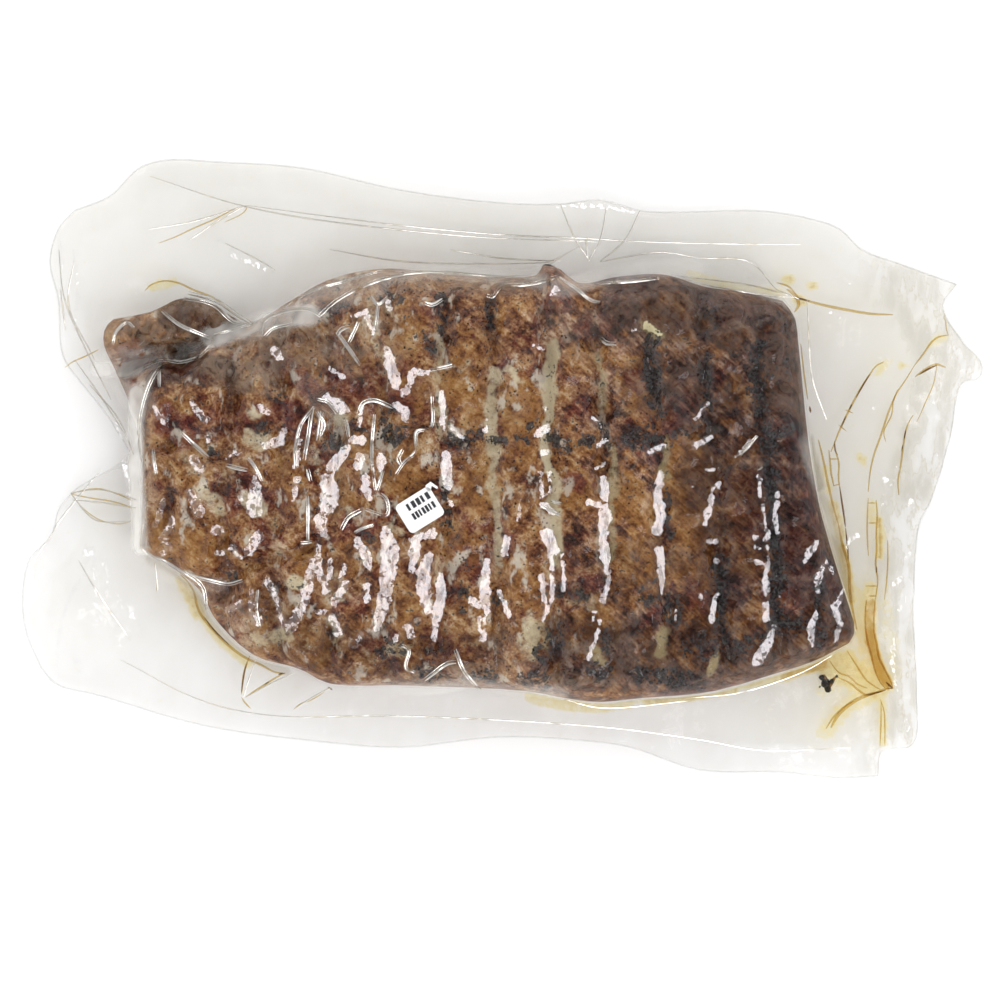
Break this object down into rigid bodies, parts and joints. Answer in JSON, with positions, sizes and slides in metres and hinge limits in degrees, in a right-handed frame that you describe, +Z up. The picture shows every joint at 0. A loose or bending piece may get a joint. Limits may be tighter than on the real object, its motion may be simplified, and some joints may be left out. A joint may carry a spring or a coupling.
{
  "type": "smoked beef brisket",
  "caption": "Whole smoked beef brisket with net marks, vacuum packed in a wrinkled clear pouch that lies flat, with a small price label stuck on top.",
  "frame": {"origin": "on the surface the pack rests on, under the middle of its bounding box", "axes": "+X along the pouch, from the end with the loose flap of meat to the sealed end; +Y across it, to the side the flap is on; +Z up, square to the flat underside"},
  "size_m": [0.4673, 0.3023, 0.0522],
  "materials": {
    "pouch_film": "clear wrinkled film, drawn tight over the meat",
    "smoked_meat": "moist smoked beef, charred along the net marks",
    "meat_juice": "thin amber juice under the film",
    "label_paper": "white price label paper with dark print"
  },
  "bodies": {
    "root": {"pouch": "pouch_film", "label": "label_paper"}
  },
  "joints": []
}
